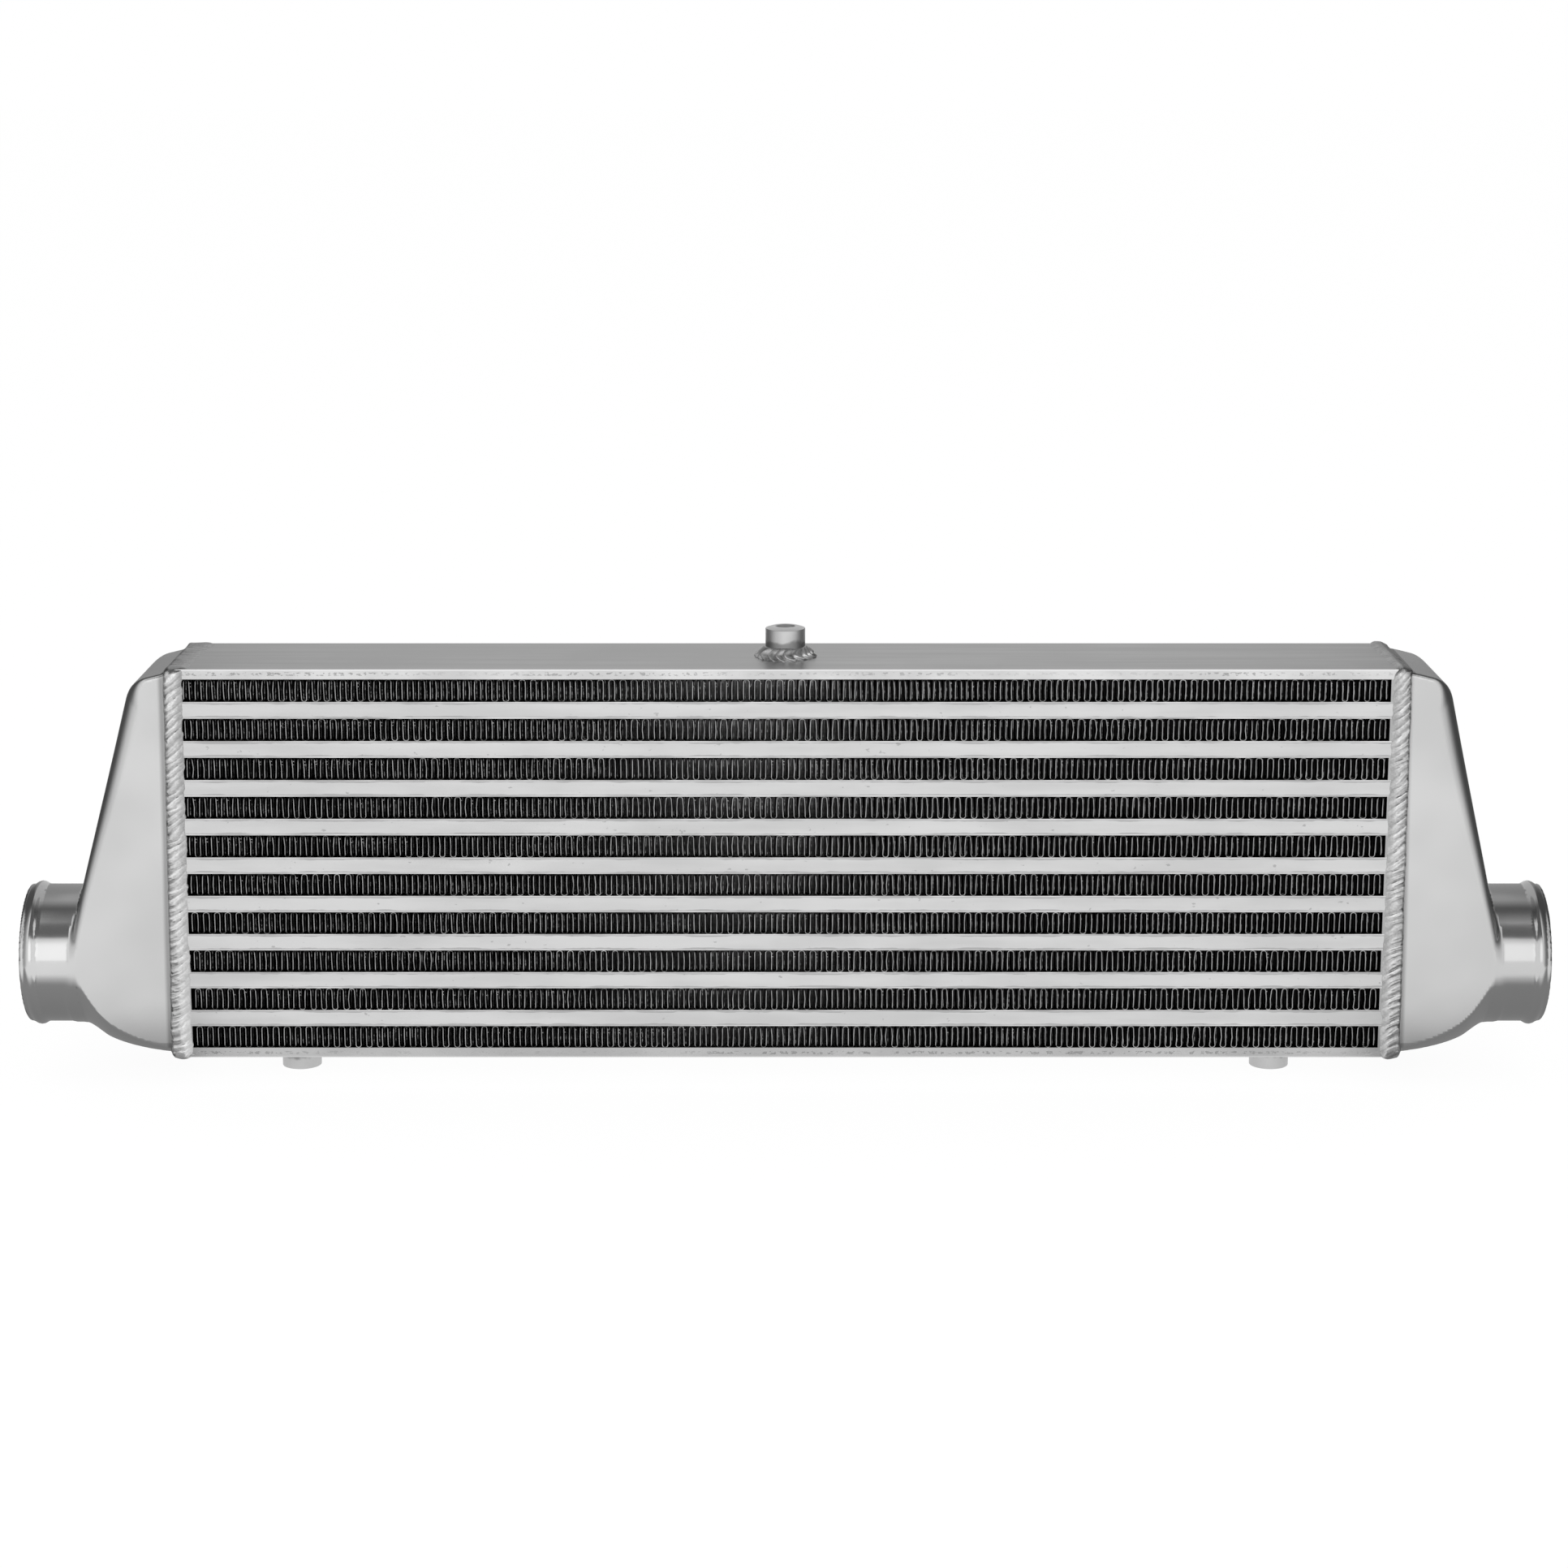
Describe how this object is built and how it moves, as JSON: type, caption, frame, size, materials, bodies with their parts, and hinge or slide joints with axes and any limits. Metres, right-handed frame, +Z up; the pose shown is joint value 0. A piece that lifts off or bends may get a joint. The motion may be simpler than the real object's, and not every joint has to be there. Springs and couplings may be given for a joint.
{
  "type": "bar-and-plate intercooler",
  "caption": "Bar-and-plate air-to-air intercooler with cast aluminium end tanks, beaded hose spigots and threaded mounting bungs.",
  "frame": {"origin": "on the plane of the two lower bungs' end faces, midway between them and midway between the front and rear faces", "axes": "+X towards the right spigot, +Y from the front face to the rear face, +Z up through the core"},
  "size_m": [0.696, 0.0688, 0.2079],
  "materials": {
    "ambient_fin": "bright rolled foil",
    "charge_fin": "brazed foil",
    "long_bar": "satin",
    "parting_sheet": "satin",
    "end_bar": "satin",
    "end_tank": "polished",
    "side_plate": "satin",
    "weld": "as welded, rippled",
    "bung": "turned"
  },
  "bodies": {
    "root": {"ambient_fin_01": "ambient_fin", "ambient_fin_02": "ambient_fin", "ambient_fin_03": "ambient_fin", "ambient_fin_04": "ambient_fin", "ambient_fin_05": "ambient_fin", "ambient_fin_06": "ambient_fin", "ambient_fin_07": "ambient_fin", "ambient_fin_08": "ambient_fin", "ambient_fin_09": "ambient_fin", "ambient_fin_10": "ambient_fin", "charge_fin_01": "charge_fin", "front_bar_01": "long_bar", "rear_bar_01": "long_bar", "parting_sheets_01": "parting_sheet", "charge_fin_02": "charge_fin", "front_bar_02": "long_bar", "rear_bar_02": "long_bar", "parting_sheets_02": "parting_sheet", "charge_fin_03": "charge_fin", "front_bar_03": "long_bar", "rear_bar_03": "long_bar", "parting_sheets_03": "parting_sheet", "charge_fin_04": "charge_fin", "front_bar_04": "long_bar", "rear_bar_04": "long_bar", "parting_sheets_04": "parting_sheet", "charge_fin_05": "charge_fin", "front_bar_05": "long_bar", "rear_bar_05": "long_bar", "parting_sheets_05": "parting_sheet", "charge_fin_06": "charge_fin", "front_bar_06": "long_bar", "rear_bar_06": "long_bar", "parting_sheets_06": "parting_sheet", "charge_fin_07": "charge_fin", "front_bar_07": "long_bar", "rear_bar_07": "long_bar", "parting_sheets_07": "parting_sheet", "charge_fin_08": "charge_fin", "front_bar_08": "long_bar", "rear_bar_08": "long_bar", "parting_sheets_08": "parting_sheet", "charge_fin_09": "charge_fin", "front_bar_09": "long_bar", "rear_bar_09": "long_bar", "parting_sheets_09": "parting_sheet", "end_bars_left": "end_bar", "left_end_tank": "end_tank", "left_tank_weld": "weld", "end_bars_right": "end_bar", "right_end_tank": "end_tank", "right_tank_weld": "weld", "top_plate": "side_plate", "bottom_plate": "side_plate", "mounting_bungs": "bung", "bung_welds": "weld"}
  },
  "joints": []
}
